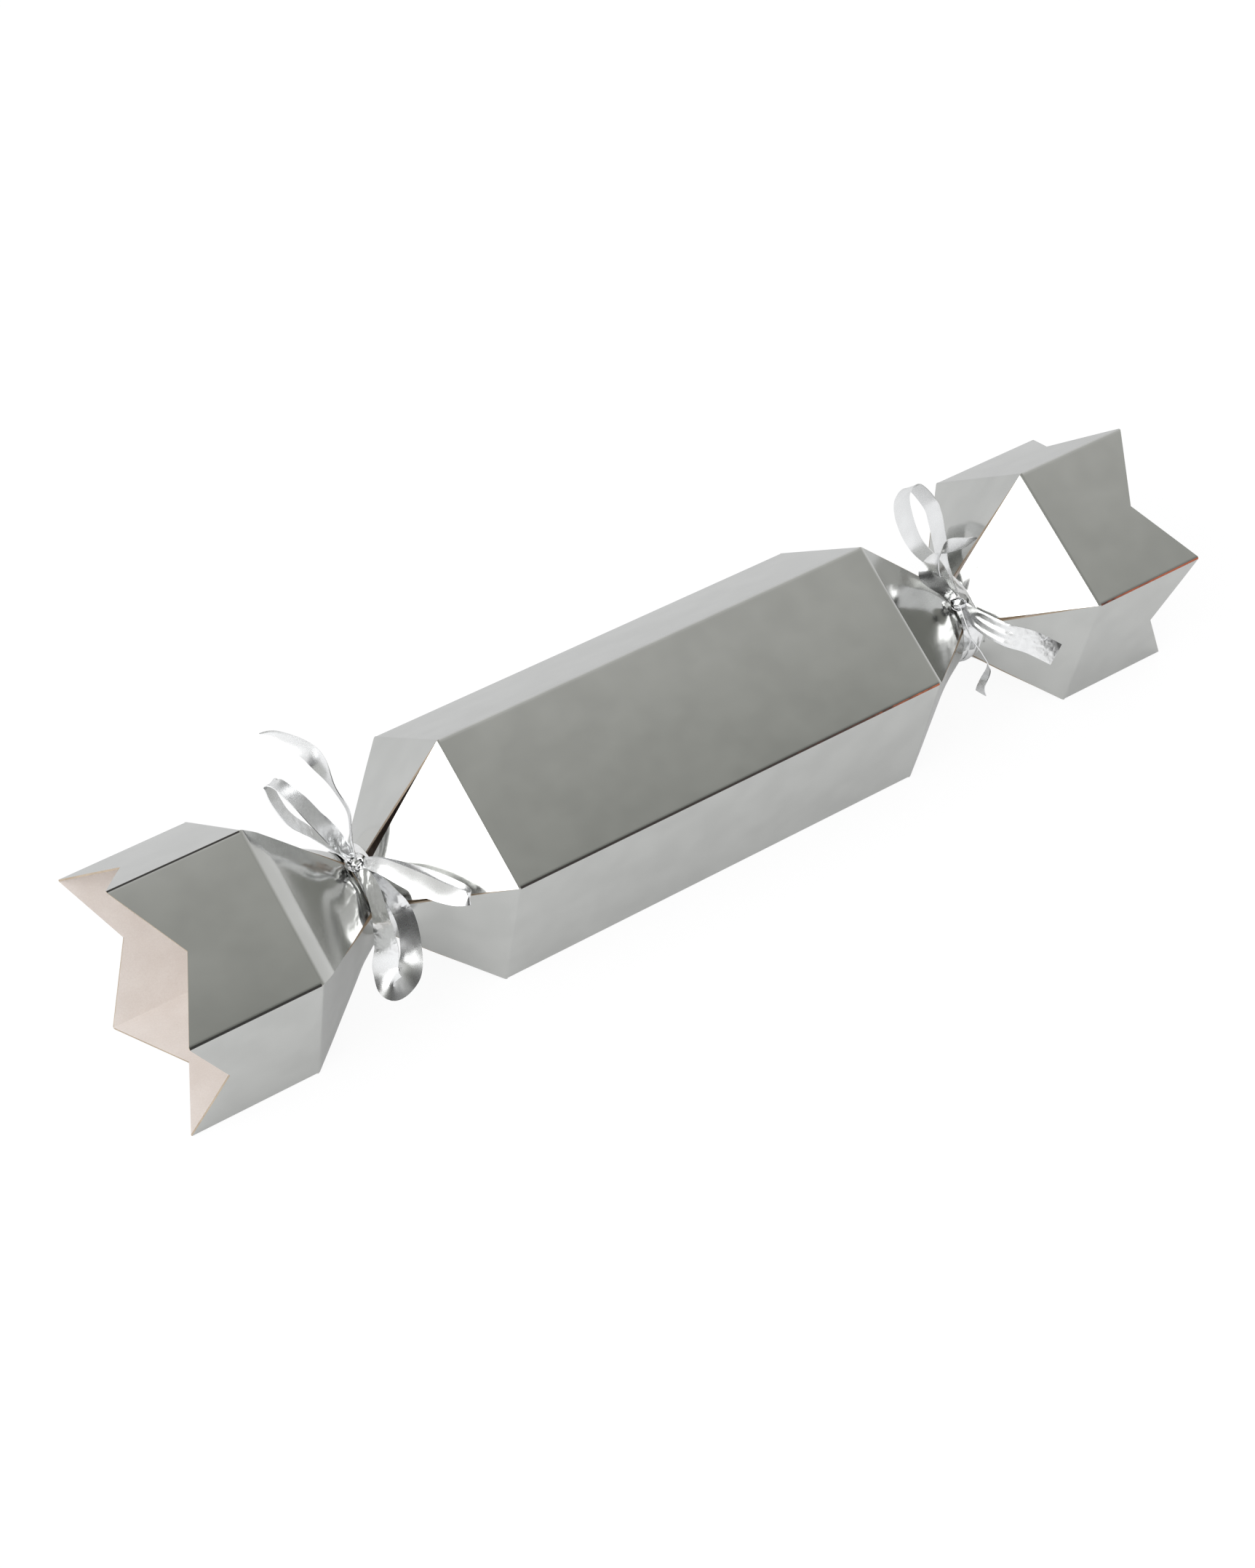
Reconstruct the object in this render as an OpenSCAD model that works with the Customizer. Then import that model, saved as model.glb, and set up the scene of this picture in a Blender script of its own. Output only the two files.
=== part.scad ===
// Christmas cracker folded from mirror foil card: a five sided middle tube, two cut necks tied with
// ribbon bows, two open end tubes, and inside it a pull snap, a paper hat, a slip and a small top.
// Sizes in millimetres. Zero is on the table under the middle of the cracker, X runs along the
// length, Z is up, and the side with the glued seam faces -Y.

/* [Card body] */
// Width of each of the five panels round the tube
panel_w = 38; // [35:0.5:41]
// Length of the middle tube between its two end folds
barrel_len = 117; // [104:1:130]
// Distance from an end fold to the middle of the neck
cone_len = 25; // [24:0.5:27]
// Length of an end tube from its fold to its points
cuff_len = 31.5; // [27:0.5:36]
// Depth of the V cut in the edge of every end panel
notch_depth = 9.3; // [6:0.1:12]
// Lean of the near side wall away from upright, in degrees
near_lean = 12.5; // [11:0.5:14]
// Lean of the far side wall away from upright, in degrees
far_lean = 26.5; // [25:0.5:28]
// Thickness of the foil card
card_t = 0.45; // [0.4:0.05:0.5]

/* [Neck] */
// Size of the neck as a share of the body section
neck_share = 0.34; // [0.32:0.01:0.36]
// Height of the neck middle as a share of the top ridge height
neck_rise_share = 0.46; // [0.44:0.01:0.48]
// Length of the straight part of the neck under the ribbon
neck_len = 5; // [4:0.5:6]
// Width of a slit where it meets the neck
slit_w = 1.4; // [1.2:0.1:1.8]

/* [Ribbon] */
// Width of the flat ribbon
ribbon_w = 6; // [5:0.5:6.5]
// Thickness of the ribbon, crinkles counted
ribbon_t = 0.3; // [0.25:0.05:0.35]
// Thickness of the turns of ribbon wound on a neck
wrap_t = 0.75; // [0.6:0.05:0.9]
// Size of the bows as a share of the panel width
bow_share = 0.79; // [0.77:0.01:0.82]
// Radius of a knot as a share of the bow size
knot_share = 0.098; // [0.09:0.002:0.1]

/* [Snap] */
// Length of the whole pull snap
snap_len = 236; // [220:1:250]
// Width of the snap strips
snap_w = 8; // [7:0.5:8.5]
// Thickness of a snap strip
snap_t = 0.4; // [0.3:0.05:0.45]
// Length over which the two strips lie on each other
snap_lap = 30; // [24:1:34]

/* [Contents] */
// Diameter of the wooden top
top_d = 15; // [13:0.5:15.5]
// Length of the folded paper hat as a share of the middle tube
hat_len_share = 0.52; // [0.46:0.01:0.53]
// Width of the folded paper hat
hat_w = 20; // [16:0.5:21]
// Length of the slip as a share of the middle tube
slip_len_share = 0.38; // [0.34:0.01:0.39]

/* [Hidden] */
$fn = 48;
clear_gap = 0.3;
glue_gap = 0.06;
seam_gap = 0.05;
wrap_gap = 0.1;
snap_gap = 0.2;
paper_t = 0.3;
arc_steps = 4;
fold_r = card_t * 4 / 3;
lap_w = panel_w * 0.29;

// Section of the body, seen from the right end with near corners on the left
near_base = [-panel_w / 2, 0];
far_base = [panel_w / 2, 0];
near_shoulder = near_base + panel_w * [-sin(near_lean), cos(near_lean)];
far_shoulder = far_base + panel_w * [sin(far_lean), cos(far_lean)];
shoulder_span = far_shoulder - near_shoulder;
shoulder_mid = (far_shoulder + near_shoulder) / 2;
ridge_rise = sqrt(pow(panel_w, 2) - pow(norm(shoulder_span) / 2, 2));
ridge = shoulder_mid + ridge_rise * [-shoulder_span[1], shoulder_span[0]] / norm(shoulder_span);
neck_z = neck_rise_share * ridge[1];
neck_x = barrel_len / 2 + cone_len;
cuff_x = neck_x + cone_len;

// Corners round the neck middle, each panel runs from its corner to the next one
corners = [for (p = [near_base, far_base, far_shoulder, ridge, near_shoulder]) p - [0, neck_z]];
floor_panel = 0;
far_lower = 1;
far_upper = 2;
near_upper = 3;
near_lower = 4;
function corner(i) = corners[(i + 5) % 5];
function edge_dir(i) = (corner(i + 1) - corner(i)) / norm(corner(i + 1) - corner(i));
function edge_out(i) = [edge_dir(i)[1], -edge_dir(i)[0]];
function edge_angle(i) = atan2(edge_dir(i)[1], edge_dir(i)[0]);
function reach(i) = corner(i) * edge_out(i);
function run_a(i) = corner(i) * edge_dir(i);
function run_b(i) = corner(i + 1) * edge_dir(i);
function mitre(i) = (edge_out(i - 1) + edge_out(i)) / (1 + edge_out(i - 1) * edge_out(i));
function out_angle(i) = atan2(edge_out(i)[1], edge_out(i)[0]);
function turn(i) = (out_angle(i) - out_angle(i - 1) + 720) % 360;
function arc_point(i, k) = out_angle(i - 1) + turn(i) * k / arc_steps;
function outline(share, out, r) = [
  for (i = [0 : 4]) for (k = [0 : arc_steps])
    share * corner(i) + mitre(i) * (out - r) + r * [cos(arc_point(i, k)), sin(arc_point(i, k))]
];

// Cones
cone_run = cone_len - neck_len / 2;
function tilt(i) = atan2(reach(i) * (1 - neck_share), cone_run);
function flap_len(i) = norm([reach(i) * (1 - neck_share), cone_run]);

// Ribbon places, as shares of the bow size measured from the middle of a neck
bow_reach = panel_w * bow_share;
knot_r = bow_reach * knot_share;
root_off = knot_r * 1.1;
left_knot_share = [-0.05, -0.04, 0.42];
right_knot_share = [-0.05, -0.17, 0.32];
ball_r = norm(left_knot_share) * bow_reach + knot_r;
root_w_share = 0.3;
strand_steps = 6;
// Rows of a strand: place, direction across the ribbon, share of the ribbon width
left_tail_shares = [
  [[-0.05, 0, 0.6], [-0.2, -0.6, 0.7], 0.7],
  [[0, 0.1, 0.8], [-0.2, -0.6, 0.8], 0.85],
  [[-0.05, 0.2, 1], [-0.2, -0.6, 0.8], 0.95],
  [[-0.1, 0.4, 1.2], [0.2, -0.4, 0.9], 0.95],
  [[-0.25, 0.6, 1.3], [0.1, -0.5, 0.9], 0.6],
  [[-0.35, 0.7, 1.3], [0.1, -0.4, 0.9], 0.1]
];
left_back_loop_shares = [
  [[-0.15, 0.05, 0.65], [0.8, 0.6, 0], 0.8],
  [[-0.25, 0.1, 0.85], [0.7, 0.7, -0.2], 0.95],
  [[-0.35, 0.15, 1.05], [0.7, 0.6, -0.4], 1],
  [[-0.45, 0.25, 1.2], [0.7, 0.6, -0.5], 1],
  [[-0.5, 0.3, 1.2], [0.6, 0.6, -0.5], 1],
  [[-0.5, 0.25, 1.1], [0.6, 0.6, -0.5], 1],
  [[-0.45, 0.15, 0.95], [0.6, 0.6, -0.5], 0.9],
  [[-0.3, 0.1, 0.75], [0.6, 0.6, -0.5], 0.7]
];
left_barrel_loop_shares = [
  [[0.05, -0.25, 0.5], [0.5, 0.4, 0.8], 0.6],
  [[0.2, -0.5, 0.45], [0.5, 0.4, 0.8], 0.8],
  [[0.35, -0.7, 0.4], [0.5, 0.4, 0.7], 0.7],
  [[0.45, -0.8, 0.4], [0.5, 0.5, 0.7], 0.5],
  [[0.45, -0.7, 0.4], [0.5, 0.5, 0.7], 0.5],
  [[0.3, -0.5, 0.45], [0.5, 0.4, 0.8], 0.6],
  [[0.1, -0.2, 0.45], [0.5, 0.4, 0.8], 0.5]
];
left_down_loop_shares = [
  [[-0.05, -0.25, 0.35], [0.5, -0.5, 0.7], 0.7],
  [[-0.1, -0.45, 0.25], [0.5, -0.5, 0.7], 0.8],
  [[-0.15, -0.6, 0.05], [0.7, -0.4, 0.6], 0.95],
  [[-0.2, -0.65, -0.1], [0.7, -0.3, 0.6], 1],
  [[-0.2, -0.75, -0.2], [0.5, 0.6, 0.6], 1],
  [[-0.05, -0.7, -0.2], [0, 0.8, 0.6], 1],
  [[0.05, -0.6, -0.1], [-0.2, 0.9, -0.2], 0.9],
  [[0.1, -0.45, 0.1], [-0.3, 0.8, -0.6], 0.85],
  [[0.05, -0.3, 0.3], [-0.3, 0.8, -0.6], 0.7]
];
right_loop_shares = [
  [[-0.1, 0.05, 0.55], [0.1, -0.5, 0.8], 0.75],
  [[-0.1, 0.35, 0.6], [0.1, -0.6, 0.8], 0.9],
  [[0.05, 0.7, 0.6], [0.1, -0.7, 0.7], 1],
  [[0.2, 0.9, 0.6], [-0.1, -0.8, 0.6], 1],
  [[0.35, 0.95, 0.6], [0, -0.7, 0.7], 1],
  [[0.45, 0.85, 0.45], [0.1, -0.6, 0.8], 1],
  [[0.4, 0.7, 0.4], [0.1, -0.6, 0.8], 1],
  [[0.25, 0.45, 0.4], [0.1, -0.6, 0.8], 0.9],
  [[0.05, 0.15, 0.45], [0.1, -0.6, 0.8], 0.6]
];
right_curl_tail_shares = [
  [[-0.2, -0.1, 0.5], [0.2, -0.6, 0.8], 0.8],
  [[-0.3, -0.1, 0.65], [0.3, -0.6, 0.7], 1],
  [[-0.3, -0.1, 0.75], [0.2, -0.6, 0.8], 1],
  [[-0.25, -0.1, 0.85], [0, -0.6, 0.8], 1],
  [[-0.15, -0.1, 0.9], [-0.1, -0.2, 1], 0.9],
  [[0, -0.15, 0.9], [-0.1, -0.3, 0.9], 0.7],
  [[0.1, -0.15, 0.9], [0, -0.3, 0.9], 0.1]
];
right_flat_tail_shares = [
  [[0, -0.4, 0.25], [0.3, 0, 0.9], 0.85],
  [[0.1, -0.6, 0.2], [0.4, 0.1, 0.9], 0.95],
  [[0.25, -0.75, 0.15], [0.4, 0.1, 0.9], 1],
  [[0.4, -0.9, 0.05], [0.5, 0.2, 0.8], 0.95]
];
right_hanging_tail_shares = [
  [[-0.1, -0.4, 0.15], [-0.4, -0.7, 0.3], 0.3],
  [[0, -0.45, -0.05], [-0.4, -0.7, 0.3], 0.4],
  [[0.05, -0.5, -0.2], [-0.4, -0.7, 0.2], 0.5],
  [[-0.05, -0.55, -0.3], [-0.2, -0.9, 0.2], 0.5],
  [[-0.05, -0.55, -0.4], [0.2, -0.9, 0], 0.55]
];

foil_card = [0.8, 0.8, 0.79];
ribbon_foil = [0.72, 0.73, 0.74];
buff_card = [0.76, 0.68, 0.55];
hat_paper = [0.75, 0.2, 0.22];
slip_paper = [0.93, 0.92, 0.88];
turned_wood = [0.8, 0.62, 0.4];

// Frames
module left_end() {
  mirror([1, 0, 0]) children();
}
module at_neck(x) {
  translate([x, 0, neck_z]) children();
}
module along(x, length) {
  translate([x, 0, 0]) rotate([90, 0, 90]) linear_extrude(length) children();
}
module on_panel(i, x) {
  translate([x, 0, 0]) rotate([edge_angle(i), 0, 0]) rotate([180, 0, 90])
    translate([0, 0, reach(i)]) children();
}

// Card
module section_ring(share, out, thick) {
  difference() {
    polygon(outline(share, out, fold_r + out));
    polygon(outline(share, out - thick, fold_r + out - thick));
  }
}
module cone_blank(i, extra) {
  on_panel(i, -cone_len) rotate([-tilt(i), 0, 0]) translate([0, 0, -card_t]) linear_extrude(card_t)
    polygon([
      [run_a(i), 0],
      [run_b(i), 0],
      [neck_share * run_b(i) - slit_w / 2, flap_len(i) + extra],
      [neck_share * run_a(i) + slit_w / 2, flap_len(i) + extra]
    ]);
}
module cone_wedge(i) {
  along(seam_gap - cone_len, cone_len) translate(edge_out(i) * glue_gap)
    polygon([[0, 0], corner(i) * 2, corner(i + 1) * 2]);
}
module flap(i) {
  difference() {
    intersection() {
      cone_blank(i, 0);
      cone_wedge(i);
    }
    sphere(ball_r + clear_gap);
  }
}
module neck_side(i) {
  intersection() {
    cone_blank(i, card_t);
    cone_wedge(i);
    sphere(ball_r);
  }
}
module neck_webs() {
  along(-neck_len / 2, neck_len) section_ring(neck_share, 0, card_t);
  for (i = [0 : 4]) neck_side(i);
  mirror([1, 0, 0]) for (i = [0 : 4]) neck_side(i);
}
module inner_flap(i) {
  at_neck(neck_x) flap(i);
}
module outer_flap(i) {
  at_neck(neck_x) mirror([1, 0, 0]) flap(i);
}
module notch(i) {
  on_panel(i, cuff_x) translate([0, 0, -2 * card_t]) linear_extrude(3 * card_t)
    polygon([
      [run_a(i) + card_t / 2, cuff_len + card_t],
      [run_a(i) + card_t / 2, cuff_len],
      [(run_a(i) + run_b(i)) / 2, cuff_len - notch_depth],
      [run_b(i) - card_t / 2, cuff_len],
      [run_b(i) - card_t / 2, cuff_len + card_t]
    ]);
}
module cuff() {
  at_neck(0) difference() {
    along(cuff_x, cuff_len) section_ring(1, 0, card_t);
    for (i = [0 : 4]) notch(i);
  }
}
module cuff_lap() {
  edge_end = run_b(near_upper) - 2 * fold_r;
  edge_start = edge_end - lap_w;
  slope = notch_depth / (panel_w / 2);
  at_neck(0) on_panel(near_upper, cuff_x) translate([0, 0, -2 * card_t - glue_gap]) linear_extrude(card_t)
    polygon([
      [edge_start, 2 * card_t],
      [edge_end, 2 * card_t],
      [edge_end, cuff_len - slope * (2 * fold_r) - 2 * card_t],
      [edge_start, cuff_len - slope * (2 * fold_r + lap_w) - 2 * card_t]
    ]);
}

// Ribbon
function unit(v) = v / norm(v);
function blend(a, b, c, d, t) = (2 * b + (c - a) * t + (2 * a - 5 * b + 4 * c - d) * pow(t, 2)
  + (3 * b - a - 3 * c + d) * pow(t, 3)) / 2;
function row(rows, i) = rows[max(0, min(len(rows) - 1, i))];
function along_rows(rows, j, u) = let (i = min(floor(u), len(rows) - 2))
  blend(row(rows, i - 1)[j], row(rows, i)[j], row(rows, i + 1)[j], row(rows, i + 2)[j], u - i);
function root(knot, first) =
  [knot + unit(first[0] - knot) * root_off / bow_reach, first[1], root_w_share];
function heading(rows, u) = unit(along_rows(rows, 0, min(u + 0.05, len(rows) - 1))
  - along_rows(rows, 0, max(u - 0.05, 0)));
function square_to(v, h) = unit(v - h * (v * h));
function station(rows, u) = let (
  middle = along_rows(rows, 0, u) * bow_reach,
  h = heading(rows, u),
  a = square_to(along_rows(rows, 1, u), h) * along_rows(rows, 2, u) * ribbon_w / 2,
  n = cross(h, unit(a)) * ribbon_t / 2
) [middle - a - n, middle + a - n, middle + a + n, middle - a + n];
module strand(rows) {
  last = (len(rows) - 1) * strand_steps;
  points = [for (k = [0 : last]) each station(rows, k / strand_steps)];
  sides = [for (k = [0 : last - 1]) for (s = [0 : 3]) let (a = 4 * k + s, b = 4 * k + (s + 1) % 4)
    each [[a, a + 4, b + 4], [a, b + 4, b]]];
  end = 4 * last;
  caps = [[0, 1, 2], [0, 2, 3], [end + 2, end + 1, end], [end + 3, end + 2, end]];
  polyhedron(points, concat(sides, caps));
}
function tail_rows(knot, rows) = concat([root(knot, rows[0])], rows);
function loop_rows(knot, rows) = concat(tail_rows(knot, rows), [root(knot, rows[len(rows) - 1])]);
module ribbon_wrap() {
  along(wrap_gap - neck_len / 2, neck_len - 2 * wrap_gap) section_ring(neck_share, wrap_gap + wrap_t, wrap_t);
}
module knot(knot_place) {
  difference() {
    translate(knot_place * bow_reach) {
      hull() {
        translate(knot_r * [-0.25, 0.15, 0]) sphere(knot_r * 0.65, $fn = 20);
        translate(knot_r * [0.25, -0.15, -0.1]) sphere(knot_r * 0.65, $fn = 20);
      }
      rotate([60, 25, 0]) hull() {
        cylinder(h = knot_r * 0.5, r = knot_r, center = true, $fn = 28);
        cylinder(h = knot_r * 0.9, r = knot_r * 0.85, center = true, $fn = 28);
      }
    }
    along(-neck_len, 2 * neck_len) polygon(outline(neck_share, 2 * wrap_gap + wrap_t, fold_r + wrap_t));
  }
}

// Snap
snap_floor = neck_z - neck_share * reach(floor_panel) + card_t + snap_gap;
module snap_strip(x, z) {
  translate([x, -snap_w / 2, z]) cube([snap_len / 2 + snap_lap / 2, snap_w, snap_t]);
}
sleeve_in_w = snap_w + 2 * snap_gap;
sleeve_in_h = 2 * snap_t + 3 * snap_gap;
module sleeve() {
  translate([0, 0, snap_floor - snap_gap + sleeve_in_h / 2]) difference() {
    cube([snap_lap * 0.8, sleeve_in_w + 2 * paper_t, sleeve_in_h + 2 * paper_t], center = true);
    cube([snap_lap, sleeve_in_w, sleeve_in_h], center = true);
  }
}

// Contents, each one lies on the floor of the middle tube
floor_z = card_t + glue_gap;
hat_len = barrel_len * hat_len_share;
slip_len = barrel_len * slip_len_share;
hat_layers = 6;
hat_pitch = 2 * paper_t;
module hat() {
  translate([-barrel_len * 0.47, -hat_w * 0.7, floor_z]) rotate([90, 0, 90]) linear_extrude(hat_len) {
    for (k = [0 : hat_layers - 1]) translate([0, k * hat_pitch]) square([hat_w, paper_t]);
    for (k = [0 : hat_layers - 2]) translate([(k % 2) * (hat_w - paper_t), k * hat_pitch])
      square([paper_t, hat_pitch + paper_t]);
  }
}
slip_w = hat_w * 0.75;
slip_bend_r = slip_w * 1.5;
module slip() {
  drop = sqrt(pow(slip_bend_r, 2) - pow(slip_w / 2, 2));
  translate([barrel_len * 0.08, -panel_w * 0.22, floor_z - drop]) intersection() {
    rotate([0, 90, 0]) difference() {
      cylinder(h = slip_len, r = slip_bend_r, $fn = 96);
      translate([0, 0, -paper_t]) cylinder(h = slip_len + 2 * paper_t, r = slip_bend_r - paper_t, $fn = 96);
    }
    translate([-paper_t, -slip_w / 2, drop]) cube([slip_len + 2 * paper_t, slip_w, slip_w]);
  }
}
module top_profile() {
  polygon([
    [0, -top_d * 0.45], [top_d * 0.04, -top_d * 0.43], [top_d * 0.5, -top_d * 0.08],
    [top_d * 0.5, top_d * 0.08], [top_d * 0.1, top_d * 0.16], [top_d * 0.07, top_d * 0.67], [0, top_d * 0.67]
  ]);
}
module top_toy() {
  translate([barrel_len * 0.33, panel_w * 0.24, floor_z + top_d / 2]) rotate([0, 0, 30]) rotate([0, 90, 0])
    rotate_extrude() top_profile();
}

// Pieces of the middle
module barrel_tube() {
  color(foil_card) at_neck(0) along(-barrel_len / 2, barrel_len) section_ring(1, 0, card_t);
}
module barrel_glue_lap() {
  edge_end = run_b(near_upper) - 2 * fold_r;
  color(foil_card) at_neck(0) on_panel(near_upper, 0)
    translate([edge_end - lap_w, 2 * card_t - barrel_len / 2, -2 * card_t - glue_gap])
      cube([lap_w, barrel_len - 4 * card_t, card_t]);
}
module left_inner_floor_flap() {
  color(foil_card) left_end() inner_flap(floor_panel);
}
module left_inner_far_lower_flap() {
  color(foil_card) left_end() inner_flap(far_lower);
}
module left_inner_far_upper_flap() {
  color(foil_card) left_end() inner_flap(far_upper);
}
module left_inner_near_upper_flap() {
  color(foil_card) left_end() inner_flap(near_upper);
}
module left_inner_near_lower_flap() {
  color(foil_card) left_end() inner_flap(near_lower);
}
module right_inner_floor_flap() {
  color(foil_card) inner_flap(floor_panel);
}
module right_inner_far_lower_flap() {
  color(foil_card) inner_flap(far_lower);
}
module right_inner_far_upper_flap() {
  color(foil_card) inner_flap(far_upper);
}
module right_inner_near_upper_flap() {
  color(foil_card) inner_flap(near_upper);
}
module right_inner_near_lower_flap() {
  color(foil_card) inner_flap(near_lower);
}

// Pieces of the two ends
module left_outer_floor_flap() {
  color(foil_card) left_end() outer_flap(floor_panel);
}
module left_outer_far_lower_flap() {
  color(foil_card) left_end() outer_flap(far_lower);
}
module left_outer_far_upper_flap() {
  color(foil_card) left_end() outer_flap(far_upper);
}
module left_outer_near_upper_flap() {
  color(foil_card) left_end() outer_flap(near_upper);
}
module left_outer_near_lower_flap() {
  color(foil_card) left_end() outer_flap(near_lower);
}
module right_outer_floor_flap() {
  color(foil_card) outer_flap(floor_panel);
}
module right_outer_far_lower_flap() {
  color(foil_card) outer_flap(far_lower);
}
module right_outer_far_upper_flap() {
  color(foil_card) outer_flap(far_upper);
}
module right_outer_near_upper_flap() {
  color(foil_card) outer_flap(near_upper);
}
module right_outer_near_lower_flap() {
  color(foil_card) outer_flap(near_lower);
}
module left_cuff() {
  color(foil_card) left_end() cuff();
}
module left_cuff_glue_lap() {
  color(foil_card) left_end() cuff_lap();
}
module right_cuff() {
  color(foil_card) cuff();
}
module right_cuff_glue_lap() {
  color(foil_card) cuff_lap();
}

// Pieces of the two ties
module left_neck_webs() {
  color(foil_card) at_neck(-neck_x) neck_webs();
}
module right_neck_webs() {
  color(foil_card) at_neck(neck_x) neck_webs();
}
module left_ribbon_wrap() {
  color(ribbon_foil) at_neck(-neck_x) ribbon_wrap();
}
module right_ribbon_wrap() {
  color(ribbon_foil) at_neck(neck_x) ribbon_wrap();
}
module left_knot() {
  color(ribbon_foil) at_neck(-neck_x) knot(left_knot_share);
}
module right_knot() {
  color(ribbon_foil) at_neck(neck_x) knot(right_knot_share);
}
module left_tail() {
  color(ribbon_foil) at_neck(-neck_x)
    strand(tail_rows(left_knot_share, left_tail_shares));
}
module left_back_loop() {
  color(ribbon_foil) at_neck(-neck_x)
    strand(loop_rows(left_knot_share, left_back_loop_shares));
}
module left_barrel_loop() {
  color(ribbon_foil) at_neck(-neck_x)
    strand(loop_rows(left_knot_share, left_barrel_loop_shares));
}
module left_down_loop() {
  color(ribbon_foil) at_neck(-neck_x)
    strand(loop_rows(left_knot_share, left_down_loop_shares));
}
module right_loop() {
  color(ribbon_foil) at_neck(neck_x)
    strand(loop_rows(right_knot_share, right_loop_shares));
}
module right_curl_tail() {
  color(ribbon_foil) at_neck(neck_x)
    strand(tail_rows(right_knot_share, right_curl_tail_shares));
}
module right_flat_tail() {
  color(ribbon_foil) at_neck(neck_x)
    strand(tail_rows(right_knot_share, right_flat_tail_shares));
}
module right_hanging_tail() {
  color(ribbon_foil) at_neck(neck_x)
    strand(tail_rows(right_knot_share, right_hanging_tail_shares));
}

// Pieces inside
module snap_left_strip() {
  color(buff_card) snap_strip(-snap_len / 2, snap_floor);
}
module snap_right_strip() {
  color(buff_card) snap_strip(-snap_lap / 2, snap_floor + snap_t + snap_gap);
}
module snap_sleeve() {
  color(slip_paper) sleeve();
}
module paper_hat() {
  color(hat_paper) hat();
}
module motto_slip() {
  color(slip_paper) slip();
}
module spinning_top() {
  color(turned_wood) top_toy();
}

barrel_tube();
barrel_glue_lap();
left_inner_floor_flap();
left_inner_far_lower_flap();
left_inner_far_upper_flap();
left_inner_near_upper_flap();
left_inner_near_lower_flap();
right_inner_floor_flap();
right_inner_far_lower_flap();
right_inner_far_upper_flap();
right_inner_near_upper_flap();
right_inner_near_lower_flap();
left_outer_floor_flap();
left_outer_far_lower_flap();
left_outer_far_upper_flap();
left_outer_near_upper_flap();
left_outer_near_lower_flap();
right_outer_floor_flap();
right_outer_far_lower_flap();
right_outer_far_upper_flap();
right_outer_near_upper_flap();
right_outer_near_lower_flap();
left_cuff();
left_cuff_glue_lap();
right_cuff();
right_cuff_glue_lap();
left_neck_webs();
right_neck_webs();
left_ribbon_wrap();
right_ribbon_wrap();
left_knot();
right_knot();
left_tail();
left_back_loop();
left_barrel_loop();
left_down_loop();
right_loop();
right_curl_tail();
right_flat_tail();
right_hanging_tail();
snap_left_strip();
snap_right_strip();
snap_sleeve();
paper_hat();
motto_slip();
spinning_top();
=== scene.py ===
import math

import bpy
import numpy as np
from mathutils import Matrix, Vector, noise


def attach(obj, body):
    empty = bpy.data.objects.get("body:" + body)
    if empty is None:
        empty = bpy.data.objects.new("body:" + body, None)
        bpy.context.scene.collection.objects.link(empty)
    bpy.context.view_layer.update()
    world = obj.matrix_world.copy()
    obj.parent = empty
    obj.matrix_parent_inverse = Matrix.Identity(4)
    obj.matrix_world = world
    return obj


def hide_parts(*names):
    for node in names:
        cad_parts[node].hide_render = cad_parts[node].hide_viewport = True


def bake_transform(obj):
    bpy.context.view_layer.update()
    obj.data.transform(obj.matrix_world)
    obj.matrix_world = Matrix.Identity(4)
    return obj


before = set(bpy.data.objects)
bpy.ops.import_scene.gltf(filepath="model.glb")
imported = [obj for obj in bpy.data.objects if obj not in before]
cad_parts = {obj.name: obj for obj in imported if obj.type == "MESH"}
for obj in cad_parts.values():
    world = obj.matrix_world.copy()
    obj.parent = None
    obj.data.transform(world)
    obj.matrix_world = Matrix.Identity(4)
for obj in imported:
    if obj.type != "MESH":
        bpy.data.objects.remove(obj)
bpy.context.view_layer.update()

# Sizes in millimetres, the same as the part's. The ribbon alone is thinner than there, because
# the part's ribbon counts the crinkles, and here they are modelled.
PANEL_W = 38.0
BARREL_HALF = 58.5
CONE_LEN = 25.0
CUFF_LEN = 31.5
NOTCH_DEPTH = 9.3
CARD_T = 0.45
FOLD_R = 0.6
NEAR_LEAN = math.radians(12.5)
FAR_LEAN = math.radians(26.5)
NECK_SHARE = 0.34
NECK_RISE_SHARE = 0.46
NECK_HALF = 2.5
SLIT_W = 1.4
RIBBON_W = 6.0
RIBBON_T = 0.2
BOW_REACH = PANEL_W * 0.79
KNOT_R = BOW_REACH * 0.098
NECK_X = BARREL_HALF + CONE_LEN
CUFF_X = NECK_X + CONE_LEN
CONE_RUN = CONE_LEN - NECK_HALF
BASE_NEAR = np.array([-PANEL_W / 2, 0.0])
BASE_FAR = np.array([PANEL_W / 2, 0.0])
SIDES = {"left": -1, "right": 1}
METRES_PER_MM = 0.001


# Camera at the photograph's angle
def make_camera():
    right = Vector((0.8276, -0.5612, -0.0090))
    up = Vector((0.3964, 0.5730, 0.7173))
    back = Vector((-0.3974, -0.5973, 0.6967))
    turn = Matrix((right, up, back)).transposed().to_4x4()
    camera = bpy.data.objects.new("camera", bpy.data.cameras.new("camera"))
    bpy.context.scene.collection.objects.link(camera)
    camera.matrix_world = Matrix.Translation((-0.27574, -0.39625, 0.48375)) @ turn
    camera.data.sensor_width = 36.0
    camera.data.lens = 64.79
    camera.data.clip_start = 0.01
    camera.data.clip_end = 50.0
    bpy.context.scene.camera = camera


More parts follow.
